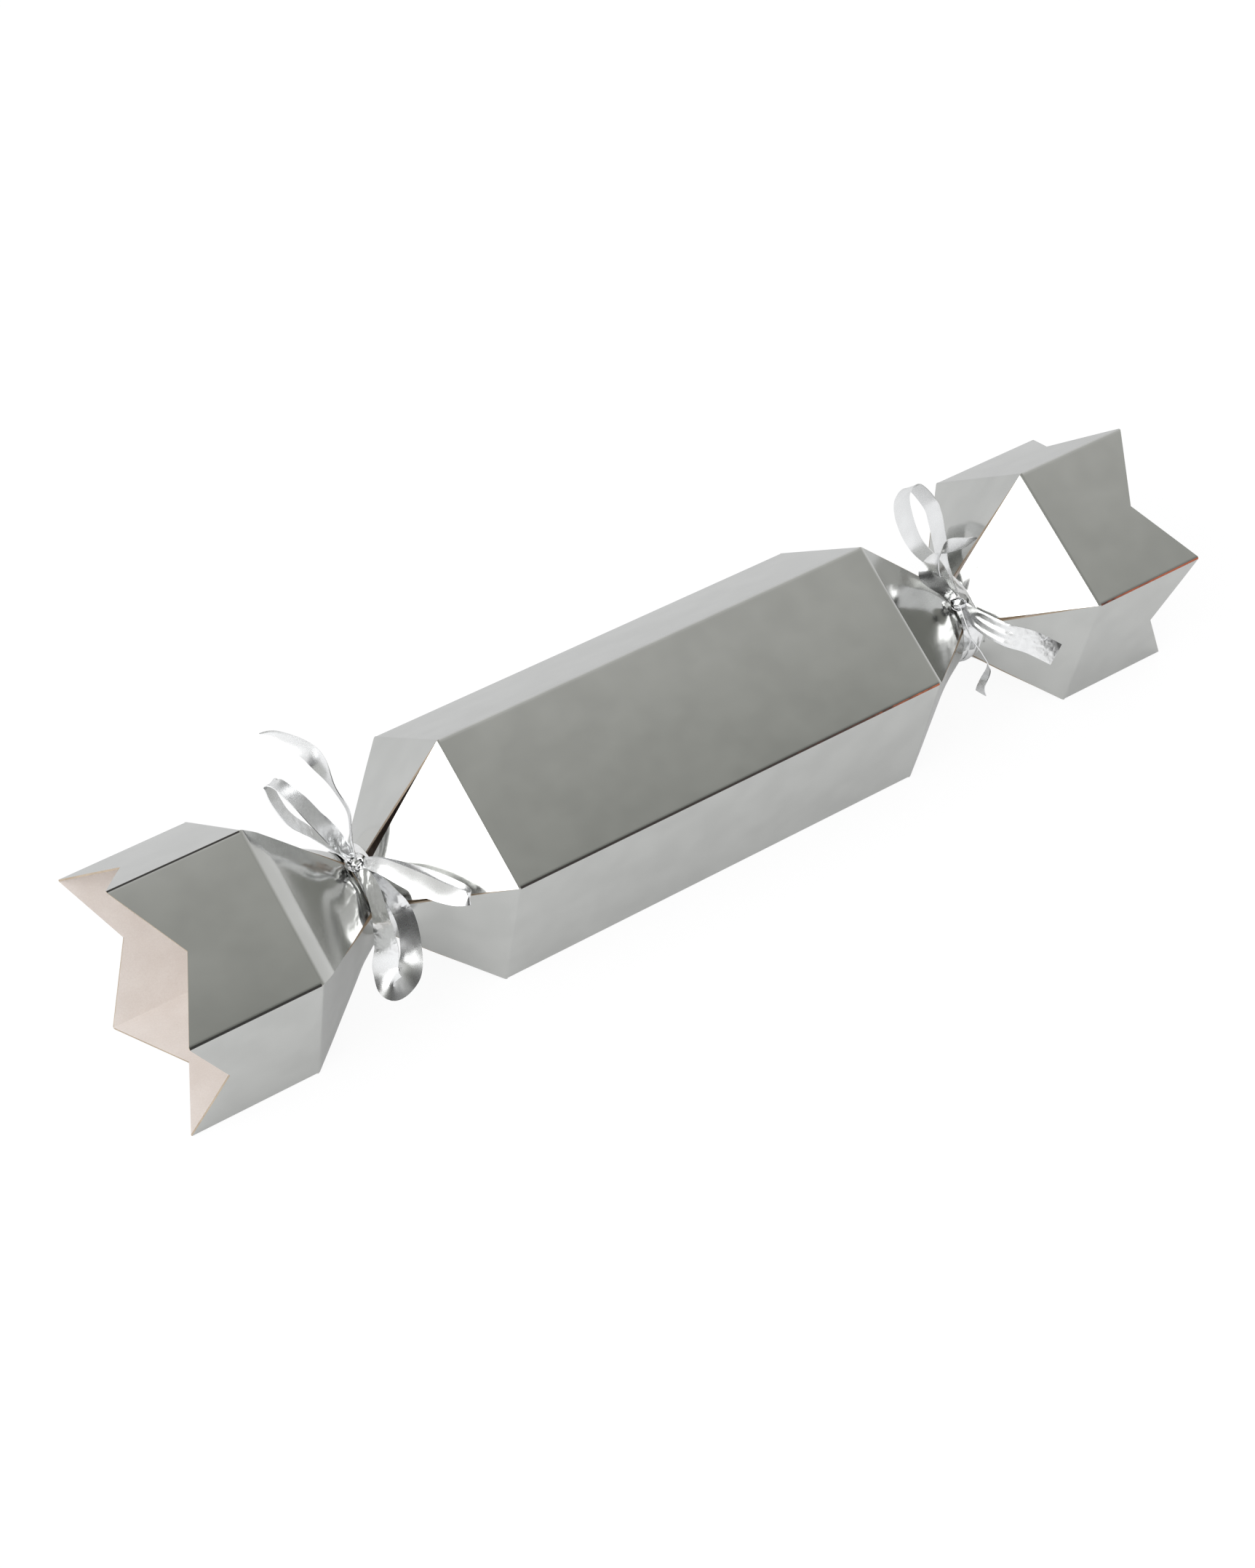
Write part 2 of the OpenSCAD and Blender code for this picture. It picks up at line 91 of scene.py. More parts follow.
# Section of the folded card: corners in the order near base, far base, far shoulder, ridge and
# near shoulder. Panel i lies between corner i and the next one.
def section_corners():
    near = BASE_NEAR + PANEL_W * np.array([-math.sin(NEAR_LEAN), math.cos(NEAR_LEAN)])
    far = BASE_FAR + PANEL_W * np.array([math.sin(FAR_LEAN), math.cos(FAR_LEAN)])
    span = far - near
    rise = math.sqrt(PANEL_W**2 - (np.linalg.norm(span) / 2) ** 2)
    ridge = (far + near) / 2 + rise * np.array([-span[1], span[0]]) / np.linalg.norm(span)
    return [BASE_NEAR, BASE_FAR, far, ridge, near]


CORNERS = section_corners()
NECK_Z = NECK_RISE_SHARE * CORNERS[3][1]
NECK_MID = np.array([0.0, NECK_Z])
PANEL_NAMES = ["floor", "far_lower", "far_upper", "near_upper", "near_lower"]
FLOOR = PANEL_NAMES.index("floor")


def unit(v):
    return v / np.linalg.norm(v)


def corner(i):
    return CORNERS[i % 5] - NECK_MID


def edge_dir(i):
    return unit(corner(i + 1) - corner(i))


def edge_out(i):
    d = edge_dir(i)
    return np.array([d[1], -d[0]])


def smooth(a, b, x):
    """Rises from 0 at a to 1 at b, level at both."""
    t = min(1.0, max(0.0, (x - a) / (b - a)))
    return t * t * (3 - 2 * t)


def ripple(x, y, z, size, seed):
    """Smooth unevenness, about -1 to 1, with lumps of the given size. Each seed gives its own."""
    return noise.noise(Vector((x / size + seed * 7.3, y / size - seed * 3.1, z / size + seed)))


# Kinds of face on a sheet of card, in the order of its materials. The last is a rounded fold
# painted with a dark line, part seam and part painted dark reflection
OUTSIDE, INSIDE, RAW_EDGE, SEAM_AND_PAINTED_REFLECTION = range(4)


# Meshes
def new_mesh(name, points, faces, kinds, materials, sharp_pairs=()):
    mesh = bpy.data.meshes.new(name)
    mesh.from_pydata([tuple(float(v) * METRES_PER_MM for v in p) for p in points], [], faces)
    for m in materials:
        mesh.materials.append(m)
    mesh.polygons.foreach_set("material_index", kinds)
    mesh.polygons.foreach_set("use_smooth", [True] * len(faces))
    if sharp_pairs:
        wanted = set(tuple(sorted(p)) for p in sharp_pairs)
        flags = [tuple(sorted(e.vertices)) in wanted for e in mesh.edges]
        attribute = mesh.attributes.new("sharp_edge", "BOOLEAN", "EDGE")
        attribute.data.foreach_set("value", flags)
    mesh.validate()
    mesh.update()
    piece = bpy.data.objects.new(name, mesh)
    bpy.context.scene.collection.objects.link(piece)
    return piece


def sheet_solid(outer, inner, closed, kind_of=None, inner_kind_of=None):
    """Points, faces, kinds and sharp edges of a sheet between two grids of points."""
    rows, cols = outer.shape[:2]
    points = list(outer.reshape(-1, 3)) + list(inner.reshape(-1, 3))
    half = rows * cols
    faces, kinds, sharp = [], [], []

    def at(r, c):
        return r * cols + c % cols

    span = cols if closed else cols - 1
    for r in range(rows - 1):
        for c in range(span):
            a, b, d, e = at(r, c), at(r, c + 1), at(r + 1, c + 1), at(r + 1, c)
            faces.append((a, b, d, e))
            kinds.append(kind_of(r, c) if kind_of else OUTSIDE)
            faces.append((a + half, e + half, d + half, b + half))
            kinds.append(inner_kind_of(r, c) if inner_kind_of else INSIDE)
    rims = [
        [(at(0, c), at(0, c + 1)) for c in range(span)],
        [(at(rows - 1, c + 1), at(rows - 1, c)) for c in range(span)],
    ]
    if not closed:
        rims.append([(at(r + 1, 0), at(r, 0)) for r in range(rows - 1)])
        rims.append([(at(r, cols - 1), at(r + 1, cols - 1)) for r in range(rows - 1)])
    for rim in rims:
        for a, b in rim:
            faces.append((b, a, a + half, b + half))
            kinds.append(RAW_EDGE)
            sharp += [(a, b), (a + half, b + half)]
        for a, b in (rim[0], rim[-1]):
            sharp += [(a, a + half), (b, b + half)]
    return points, faces, kinds, sharp


def solid_piece(name, parts, materials, flip=False):
    """One mesh of several sheet solids, each with its points, faces, kinds and sharp edges."""
    points, faces, kinds, sharp = [], [], [], []
    for p, f, k, s in parts:
        base = len(points)
        points += list(p)
        faces += [tuple(v + base for v in (reversed(face) if flip else face)) for face in f]
        kinds += list(k)
        sharp += [(a + base, b + base) for a, b in s]
    return new_mesh(name, points, faces, kinds, materials, sharp)


def finish_piece(piece, body, nodes=()):
    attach(piece, body)
    if nodes:
        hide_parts(*nodes)
    return piece


# Steps shared by the materials
def node_of(tree, kind, **values):
    node = tree.nodes.new(kind)
    for key, value in values.items():
        if key in node.inputs:
            node.inputs[key].default_value = value
        else:
            setattr(node, key, value)
    return node


def wire(tree, source, target):
    tree.links.new(source, target)


def ramp(tree, source, stops):
    node = tree.nodes.new("ShaderNodeValToRGB")
    while len(node.color_ramp.elements) < len(stops):
        node.color_ramp.elements.new(0.5)
    for element, (place, colour) in zip(node.color_ramp.elements, stops):
        element.position = place
        element.color = (*colour, 1.0) if isinstance(colour, tuple) else (*[colour] * 3, 1.0)
    wire(tree, source, node.inputs["Fac"])
    return node.outputs["Color"]


def math_of(tree, operation, a, b=None, c=None):
    node = tree.nodes.new("ShaderNodeMath")
    node.operation = operation
    for socket, value in zip(node.inputs, (a, b, c)):
        if value is None:
            continue
        if isinstance(value, (int, float)):
            socket.default_value = value
        else:
            wire(tree, value, socket)
    return node.outputs["Value"]


# Places of a mix node's sockets when it mixes colours
MIX_FACTOR, MIX_FIRST, MIX_SECOND, MIX_RESULT = 0, 6, 7, 2


def mix_colour(tree, factor, first, second, blend="MIX"):
    node = tree.nodes.new("ShaderNodeMix")
    node.data_type = "RGBA"
    node.blend_type = blend
    for place, value in ((MIX_FACTOR, factor), (MIX_FIRST, first), (MIX_SECOND, second)):
        if isinstance(value, (int, float)):
            node.inputs[place].default_value = value
        elif isinstance(value, tuple):
            node.inputs[place].default_value = (*value, 1.0)
        else:
            wire(tree, value, node.inputs[place])
    return node.outputs[MIX_RESULT]


def new_group(name, inputs, outputs):
    group = bpy.data.node_groups.new(name, "ShaderNodeTree")
    for label, kind, value in inputs:
        socket = group.interface.new_socket(label, in_out="INPUT", socket_type=kind)
        socket.default_value = value
    for label, kind in outputs:
        group.interface.new_socket(label, in_out="OUTPUT", socket_type=kind)
    return group, group.nodes.new("NodeGroupInput"), group.nodes.new("NodeGroupOutput")


def place_in_mm(tree):
    coords = node_of(tree, "ShaderNodeTexCoord")
    scale = node_of(tree, "ShaderNodeVectorMath", operation="SCALE")
    wire(tree, coords.outputs["Object"], scale.inputs[0])
    scale.inputs["Scale"].default_value = 1000.0
    return scale.outputs[0]


# Mirror foil laminated on card or ribbon: slow waves, a fine satin grain, small dents far apart
# and, on pulled ribbon, crumpled folds. Sizes are in millimetres.
GRAIN_DEPTH = 0.035
DENT_DEPTH = 0.12
GRAIN_ROUGHNESS = 0.08


def foil_surface_group():
    group, source, out = new_group(
        "foil_surface",
        [
            ("Wave Size", "NodeSocketFloat", 9.0),
            ("Grain Size", "NodeSocketFloat", 0.5),
            ("Tone", "NodeSocketColor", (0.6, 0.6, 0.59, 1.0)),
            ("Roughness", "NodeSocketFloat", 0.12),
            ("Crumple", "NodeSocketFloat", 0.0),
        ],
        [
            ("Color", "NodeSocketColor"),
            ("Roughness", "NodeSocketFloat"),
            ("Height", "NodeSocketFloat"),
        ],
    )
    place = place_in_mm(group)
    waves = node_of(group, "ShaderNodeTexNoise", Detail=1.5, Roughness=0.45)
    wire(group, place, waves.inputs["Vector"])
    wave_scale = math_of(group, "DIVIDE", 1.0, source.outputs["Wave Size"])
    wire(group, wave_scale, waves.inputs["Scale"])
    grain = node_of(group, "ShaderNodeTexNoise", Detail=2.0, Roughness=0.6)
    wire(group, place, grain.inputs["Vector"])
    grain_scale = math_of(group, "DIVIDE", 1.0, source.outputs["Grain Size"])
    wire(group, grain_scale, grain.inputs["Scale"])
    dents = node_of(group, "ShaderNodeTexVoronoi", Scale=0.045, Randomness=1.0)
    wire(group, place, dents.inputs["Vector"])
    dent = ramp(group, dents.outputs["Distance"], [(0.0, 0.0), (0.035, 1.0)])
    warp = node_of(group, "ShaderNodeTexNoise", Scale=0.35, Detail=2.0)
    wire(group, place, warp.inputs["Vector"])
    warped = node_of(group, "ShaderNodeVectorMath", operation="MULTIPLY_ADD")
    wire(group, warp.outputs["Color"], warped.inputs[0])
    warped.inputs[1].default_value = (3.0, 3.0, 3.0)
    wire(group, place, warped.inputs[2])
    folds = node_of(
        group,
        "ShaderNodeTexVoronoi",
        feature="SMOOTH_F1",
        Scale=0.5,
        Randomness=1.0,
        Smoothness=0.35,
    )
    wire(group, warped.outputs[0], folds.inputs["Vector"])
    fold = ramp(group, folds.outputs["Distance"], [(0.0, 0.0), (0.8, 1.0)])
    fold = math_of(group, "MULTIPLY", fold, source.outputs["Crumple"])
    height = math_of(group, "MULTIPLY", grain.outputs["Fac"], GRAIN_DEPTH)
    height = math_of(group, "ADD", waves.outputs["Fac"], height)
    height = math_of(group, "ADD", height, math_of(group, "MULTIPLY", dent, DENT_DEPTH))
    height = math_of(group, "ADD", height, fold)
    wire(group, height, out.inputs["Height"])
    rough = math_of(group, "MULTIPLY", grain.outputs["Fac"], GRAIN_ROUGHNESS)
    rough = math_of(group, "ADD", source.outputs["Roughness"], rough)
    wire(group, rough, out.inputs["Roughness"])
    cloud = ramp(group, waves.outputs["Fac"], [(0.35, 0.94), (0.65, 1.0)])
    colour = mix_colour(group, 1.0, source.outputs["Tone"], cloud, "MULTIPLY")
    wire(group, colour, out.inputs["Color"])
    return group


# Fibres and faint clouds of uncoated card and paper
FIBRE_PART = 0.55
CLOUD_PART = 0.45


def paper_surface_group():
    group, source, out = new_group(
        "paper_surface",
        [
            ("Fibre Size", "NodeSocketFloat", 0.35),
            ("Light Tone", "NodeSocketColor", (0.8, 0.72, 0.66, 1.0)),
            ("Dark Tone", "NodeSocketColor", (0.72, 0.63, 0.57, 1.0)),
        ],
        [("Color", "NodeSocketColor"), ("Height", "NodeSocketFloat")],
    )
    place = place_in_mm(group)
    fibres = node_of(group, "ShaderNodeTexNoise", Detail=4.0, Roughness=0.65, Distortion=0.8)
    wire(group, place, fibres.inputs["Vector"])
    fibre_scale = math_of(group, "DIVIDE", 1.0, source.outputs["Fibre Size"])
    wire(group, fibre_scale, fibres.inputs["Scale"])
    clouds = node_of(group, "ShaderNodeTexNoise", Scale=0.12, Detail=2.0)
    wire(group, place, clouds.inputs["Vector"])
    fibre = math_of(group, "MULTIPLY", fibres.outputs["Fac"], FIBRE_PART)
    cloud = math_of(group, "MULTIPLY", clouds.outputs["Fac"], CLOUD_PART)
    spread = ramp(group, math_of(group, "ADD", fibre, cloud), [(0.38, 0.0), (0.62, 1.0)])
    tones = source.outputs["Dark Tone"], source.outputs["Light Tone"]
    wire(group, mix_colour(group, spread, *tones), out.inputs["Color"])
    wire(group, fibres.outputs["Fac"], out.inputs["Height"])
    return group


def new_material(name):
    material = bpy.data.materials.new(name)
    material.use_nodes = True
    tree = material.node_tree
    return material, tree, tree.nodes["Principled BSDF"]


def place_group(tree, group, **values):
    node = tree.nodes.new("ShaderNodeGroup")
    node.node_tree = group
    for key, value in values.items():
        node.inputs[key.replace("_", " ")].default_value = value
    return node


def bump(tree, shader, height, distance):
    node = node_of(tree, "ShaderNodeBump", Strength=1.0, Distance=distance)
    wire(tree, height, node.inputs["Height"])
    wire(tree, node.outputs["Normal"], shader.inputs["Normal"])


def foil_material(group, name, tone, roughness, wave, grain, crumple, depth):
    material, tree, shader = new_material(name)
    shader.inputs["Metallic"].default_value = 1.0
    shader.inputs["Specular Tint"].default_value = (0.8, 0.8, 0.8, 1.0)
    surface = place_group(
        tree,
        group,
        Wave_Size=wave,
        Grain_Size=grain,
        Tone=(*tone, 1.0),
        Roughness=roughness,
        Crumple=crumple,
    )
    wire(tree, surface.outputs["Color"], shader.inputs["Base Color"])
    wire(tree, surface.outputs["Roughness"], shader.inputs["Roughness"])
    bump(tree, shader, surface.outputs["Height"], depth)
    return material


def paper_material(group, name, light, dark, fibre, roughness, depth):
    material, tree, shader = new_material(name)
    shader.inputs["Roughness"].default_value = roughness
    shader.inputs["Specular IOR Level"].default_value = 0.25
    surface = place_group(
        tree, group, Fibre_Size=fibre, Light_Tone=(*light, 1.0), Dark_Tone=(*dark, 1.0)
    )
    wire(tree, surface.outputs["Color"], shader.inputs["Base Color"])
    bump(tree, shader, surface.outputs["Height"], depth)
    return material


# The dark line along some rounded folds: in part the glued seam's cut edge, in part a painted
# dark reflection of the rounded fold. It is near black along most of its length, with two rust
# coloured stretches towards the right
SEAM_AND_PAINTED_REFLECTION_TONES = [
    (0.0, (0.015, 0.014, 0.012)),
    (0.56, (0.03, 0.018, 0.014)),
    (0.64, (0.1, 0.035, 0.02)),
    (0.69, (0.42, 0.12, 0.05)),
    (0.84, (0.05, 0.02, 0.015)),
    (0.93, (0.42, 0.1, 0.04)),
]


def seam_material():
    material, tree, shader = new_material("seam_cut_edge")
    coords = node_of(tree, "ShaderNodeTexCoord")
    split = node_of(tree, "ShaderNodeSeparateXYZ")
    wire(tree, coords.outputs["Object"], split.inputs[0])
    along = math_of(tree, "MULTIPLY_ADD", split.outputs["X"], 3.4, 0.5)
    fray = node_of(tree, "ShaderNodeTexNoise", Scale=420.0, Detail=2.0)
    wire(tree, coords.outputs["Object"], fray.inputs["Vector"])
    wander = math_of(tree, "MULTIPLY_ADD", fray.outputs["Fac"], 0.16, -0.08)
    # Colour of the seam with its painted dark reflection, by place along the fold
    colour = ramp(tree, math_of(tree, "ADD", along, wander), SEAM_AND_PAINTED_REFLECTION_TONES)
    wire(tree, colour, shader.inputs["Base Color"])
    shader.inputs["Roughness"].default_value = 0.55
    bump(tree, shader, fray.outputs["Fac"], 0.0001)
    return material


def wood_material():
    material, tree, shader = new_material("turned_wood")
    coords = node_of(tree, "ShaderNodeTexCoord")
    rings = node_of(
        tree, "ShaderNodeTexWave", wave_type="RINGS", Scale=260.0, Distortion=3.0, Detail=2.0
    )
    wire(tree, coords.outputs["Object"], rings.inputs["Vector"])
    tones = [(0.0, (0.62, 0.43, 0.25)), (1.0, (0.78, 0.6, 0.38))]
    wire(tree, ramp(tree, rings.outputs["Fac"], tones), shader.inputs["Base Color"])
    shader.inputs["Roughness"].default_value = 0.45
    bump(tree, shader, rings.outputs["Fac"], 0.00003)
    return material


# Foils: name, tone, roughness, sizes of waves and grain in millimetres, crumple, depth in metres
FOILS = {
    "foil": ("foil_card_outside", (0.6, 0.605, 0.59), 0.1, 9.0, 0.5, 0.0, 0.00004),
    "ribbon": ("ribbon_foil", (0.93, 0.935, 0.94), 0.24, 6.0, 0.35, 0.0, 0.00002),
    "crinkled": ("crinkled_ribbon_foil", (0.93, 0.935, 0.94), 0.16, 1.2, 0.3, 0.7, 0.00007),
}
# Papers: name, light tone, dark tone, fibre size in millimetres, roughness, depth in metres
PAPERS = {
    "inside": ("card_inside", (0.84, 0.785, 0.745), (0.77, 0.705, 0.66), 0.4, 0.85, 0.00002),
    "edge": ("card_cut_edge", (0.55, 0.46, 0.36), (0.4, 0.32, 0.24), 0.25, 0.8, 0.00003),
    "snap": ("snap_card", (0.66, 0.53, 0.38), (0.56, 0.44, 0.3), 0.3, 0.8, 0.00003),
    "slip": ("slip_paper", (0.9, 0.89, 0.85), (0.84, 0.83, 0.78), 0.25, 0.8, 0.00001),
    "hat": ("hat_tissue", (0.6, 0.06, 0.08), (0.5, 0.04, 0.06), 0.5, 0.7, 0.00004),
}


def make_materials():
    foil = foil_surface_group()
    paper = paper_surface_group()
    mats = {key: foil_material(foil, *look) for key, look in FOILS.items()}
    mats.update({key: paper_material(paper, *look) for key, look in PAPERS.items()})
    mats["wood"] = wood_material()
    mats["seam"] = seam_material()
    return mats


# Card tubes: the barrel and the two cuffs. Shares across a panel lie closer by the folds.
PANEL_SHARES = [0.0, 0.012, 0.03] + [k / 12 for k in range(1, 12)] + [0.97, 0.988, 1.0]
CORNER_STEPS = 4
BARREL_ROWS = 40
CUFF_ROWS = 20
# How far each panel of the barrel bows out, in the order of PANEL_NAMES
BARREL_BOWS = [0.0, 0.1, 0.12, 0.2, 0.12]
CUFF_BOW = 0.12
WAVE_DEPTH = 0.1
CUFF_SEEDS = {"left": 2.0, "right": 3.0}
# Corners whose rounded fold gets the dark line of seam and painted dark reflection, in the order
# of CORNERS. On the left cuff's ridge the line is painted reflection alone
SEAM_AND_PAINTED_REFLECTION_CORNERS = {"barrel": [4], "left_cuff": [4, 3], "right_cuff": [4]}


def corner_turn(i):
    a, b = edge_out(i - 1), edge_out(i)
    return math.acos(max(-1.0, min(1.0, float(a @ b))))


def panel_point(i, u):
    """Point on panel i at u, 0 to 1 between its rounded corners, and the way out of the panel."""
    d, n = edge_dir(i), edge_out(i)
    a, b = corner(i), corner(i + 1)
    trim_a = FOLD_R * math.tan(corner_turn(i) / 2)
    trim_b = FOLD_R * math.tan(corner_turn(i + 1) / 2)
    length = np.linalg.norm(b - a) - trim_a - trim_b
    return a + d * (trim_a + length * u), n


def section_loop():
    """Rows of place, way out, panel, share across it and, on a rounded corner, its number."""
    loop = []
    for i in range(len(CORNERS)):
        start, end = edge_out(i - 1), edge_out(i)
        turn = corner_turn(i)
        centre = corner(i) + edge_dir(i) * FOLD_R * math.tan(turn / 2) - end * FOLD_R
        for k in range(1, CORNER_STEPS):
            t = k / CORNER_STEPS
            n = unit(start * math.sin((1 - t) * turn) + end * math.sin(t * turn))
            loop.append((centre + n * FOLD_R, n, i, 0.0, i))
        for u in PANEL_SHARES:
            p, n = panel_point(i, u)
            loop.append((p, n, i, u, None))
    return loop


def tube_piece(name, x_start, length_of, rows, materials, bulge_of, seam_corners):
    loop = section_loop()
    outer = np.zeros((rows, len(loop), 3))
    inner = np.zeros((rows, len(loop), 3))
    for r in range(rows):
        v = r / (rows - 1)
        for c, (p, n, i, u, _) in enumerate(loop):
            x = x_start + v * length_of(u)
            q = p + NECK_MID + n * bulge_of(i, u, v, x)
            inside = q - n * CARD_T
            outer[r, c] = (x, q[0], q[1])
            inner[r, c] = (x, inside[0], inside[1])

    # Faces of those rounded folds take the dark line: seam and painted dark reflection
    def kind_of(r, c):
        return SEAM_AND_PAINTED_REFLECTION if loop[c][4] in seam_corners else OUTSIDE

    part = sheet_solid(outer, inner, True, kind_of)
    return solid_piece(name, [part], materials, flip=length_of(0.0) < 0)


def panel_wave(x, u, i, size, seed):
    return WAVE_DEPTH * ripple(x, u * 30, i * 40.0, size, seed)


def barrel_bulge(i, u, v, x):
    if i == FLOOR:
        return 0.0
    ends = 1 - abs(2 * v - 1) ** 6
    across = 4 * u * (1 - u)
    return (BARREL_BOWS[i] + panel_wave(x, u, i, 26.0, 1.0)) * across * ends


def cuff_bulge(seed):
    def push(i, u, v, x):
        if i == FLOOR:
            return 0.0
        across = 4 * u * (1 - u)
        return (CUFF_BOW + panel_wave(x, u, i, 20.0, seed)) * across * min(1.0, v * 3)

    return push


def make_tubes(mats):
    card = [mats["foil"], mats["inside"], mats["edge"], mats["seam"]]
    barrel = tube_piece(
        "barrel_card",
        -BARREL_HALF,
        lambda u: 2 * BARREL_HALF,
        BARREL_ROWS,
        card,
        barrel_bulge,
        SEAM_AND_PAINTED_REFLECTION_CORNERS["barrel"],
    )
    finish_piece(barrel, "barrel", ["barrel_tube"])
    for side, sign in SIDES.items():
        node = side + "_cuff"

        def length_of(u, sign=sign):
            return sign * (CUFF_LEN - NOTCH_DEPTH * (1 - abs(2 * u - 1)))

        cuff = tube_piece(
            node + "_card",
            sign * CUFF_X,
            length_of,
            CUFF_ROWS,
            card,
            cuff_bulge(CUFF_SEEDS[side]),
            SEAM_AND_PAINTED_REFLECTION_CORNERS[node],
        )
        finish_piece(cuff, side + "_end", [node])


# Cone flaps, each from its fold to the middle of the neck, with close rows by the fold
FLAP_STEPS = [0, 0.008, 0.018, 0.03, 0.045, 0.07] + [0.1 + 0.9 * k / 26 for k in range(27)]
FLAP_COLS = 17
NECK_ROWS = 3
# How far the sides of a neck bow out
NECK_SAG = 2.0
# Share of a flap's run that rounds the fold
FOLD_ROUND = 0.035
# Part of the slope that a band by the fold goes without
BAND_EASE = 0.25


def neck_place(i, u, share, sag, slit, opened=0.0):
    """Point of panel i at a share of the section. The panel is bowed out by sag, and both its
    edges are drawn in by half a slit, its first one by opened as well."""
    a, b = corner(i) * share, corner(i + 1) * share
    d = edge_dir(i)
    a = a + d * (slit / 2 + opened)
    b = b - d * slit / 2
    return a + (b - a) * u + edge_out(i) * sag * 4 * u * (1 - u)


def flap_share(s, band=0.0):
    """Share of the section at s of the flap's run. A band by the fold slopes less."""
    run = s * s / (2 * FOLD_ROUND) if s < FOLD_ROUND else s - FOLD_ROUND / 2
    run = run + FOLD_ROUND / 2 * s**4
    if band:
        run = run - BAND_EASE * min(s, band) * (1 - s) / (1 - band)
    return 1 - (1 - NECK_SHARE) * min(run, 1.0)


def flap_piece(name, side, kind, i, materials, shape):
    fold_x, way = (BARREL_HALF, 1) if kind == "inner" else (CUFF_X, -1)
    out = edge_out(i)
    seed = shape["seed"]
    rows = len(FLAP_STEPS) + NECK_ROWS
    outer = np.zeros((rows, FLAP_COLS, 3))
    for r in range(rows):
        s = FLAP_STEPS[r] if r < len(FLAP_STEPS) else 1.0
        past = max(0, r - len(FLAP_STEPS) + 1) / NECK_ROWS
        x = fold_x + way * (CONE_RUN * s + NECK_HALF * past)
        share = flap_share(s, shape.get("band", 0.0))
        sag = shape.get("sag", NECK_SAG) * smooth(0.6, 1.0, s)
        sag = sag + shape["bow"] * math.sin(math.pi * s)
        for c in range(FLAP_COLS):
            u = c / (FLAP_COLS - 1)
            p = neck_place(i, u, share, sag, SLIT_W * s, shape.get("open", 0.0) * s)
            soft = shape["soft"] * ripple(s * 20, u * 12, i * 9.0, 9.0, seed)
            p = p + out * soft * smooth(0.02, 0.3, s) * (1 - past)
            gather = shape.get("gather", 0.15) * ripple(s * 8, u * 26, 3.0 + i, 4.0, seed + 5)
            p = p + out * gather * smooth(0.78, 1.0, s)
            outer[r, c] = (x, p[0] + NECK_MID[0], p[1] + NECK_MID[1])
    normals = np.cross(np.gradient(outer, axis=1), np.gradient(outer, axis=0))
    normals /= np.linalg.norm(normals, axis=2)[:, :, None] + 1e-9
    if (normals.reshape(-1, 3) @ np.array([0.0, *out])).mean() < 0:
        normals = -normals
    inner = outer - normals * CARD_T
    mirrored = side == "left"
    if mirrored:
        outer[:, :, 0] *= -1
        inner[:, :, 0] *= -1
    flip = (way < 0) != mirrored
    return solid_piece(name, [sheet_solid(outer, inner, False)], materials, flip)


# Shapes of the four flaps that face up towards the near side, in millimetres. bow, soft and
# gather are depths of the curve along the flap, of its unevenness and of its creases by the neck,
# and sag is how far its end bows out there. open widens the slit at its first edge. band is the
# share of its run that a flatter band takes by the fold.
FLAP_SHAPES = {
    "left_inner_near_upper": dict(bow=0.05, soft=0.05, seed=1.0, gather=0.03, sag=0.9, open=1.3),
    "left_outer_near_upper": dict(bow=0.0, soft=0.12, seed=2.0, gather=0.15, sag=1.2, band=0.16),
    "right_inner_near_upper": dict(bow=0.0, soft=0.15, seed=3.0, gather=0.12, sag=1.4),
    "right_outer_near_upper": dict(bow=0.05, soft=0.08, seed=4.0, gather=0.03, sag=0.9),
}


def make_flaps(mats):
    card = [mats["foil"], mats["inside"], mats["edge"]]
    for side, sign in SIDES.items():
        for kind in ("inner", "outer"):
            for i, panel in enumerate(PANEL_NAMES):
                plain = dict(bow=0.1, soft=0.15, seed=10.0 + i)
                shape = FLAP_SHAPES.get(f"{side}_{kind}_{panel}", plain)
                node = f"{side}_{kind}_{panel}_flap"
                piece = flap_piece(node + "_card", side, kind, i, card, shape)
                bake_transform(piece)
                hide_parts(node)


# Necks: the webs of card and two turns of ribbon over them
NECK_COLS = 90


def neck_ring(side, out_of, half, thick, rows, tilt=0.0, seed=0.0, crease=0.0):
    """A closed band round a neck. out_of says how far out it lies at -1 to 1 of its width."""
    outer = np.zeros((rows, NECK_COLS, 3))
    inner = np.zeros((rows, NECK_COLS, 3))
    for r in range(rows):
        t = -1 + 2 * r / (rows - 1)
        for c in range(NECK_COLS):
            i, u = divmod(c / (NECK_COLS / len(CORNERS)), 1.0)
            p = neck_place(int(i), u, NECK_SHARE, NECK_SAG, 0.0)
            n = unit(p)
            push = out_of(t) + crease * ripple(t * 3, c * 0.55, seed, 2.0, seed)
            wander = 0.3 * ripple(c * 0.4, seed, 0.0, 3.0, seed)
            x = SIDES[side] * NECK_X + half * t + tilt * p[0] + wander
            q = p + n * push
            w = q - n * thick
            outer[r, c] = (x, q[0], q[1] + NECK_Z)
            inner[r, c] = (x, w[0], w[1] + NECK_Z)
    return sheet_solid(outer, inner, True)


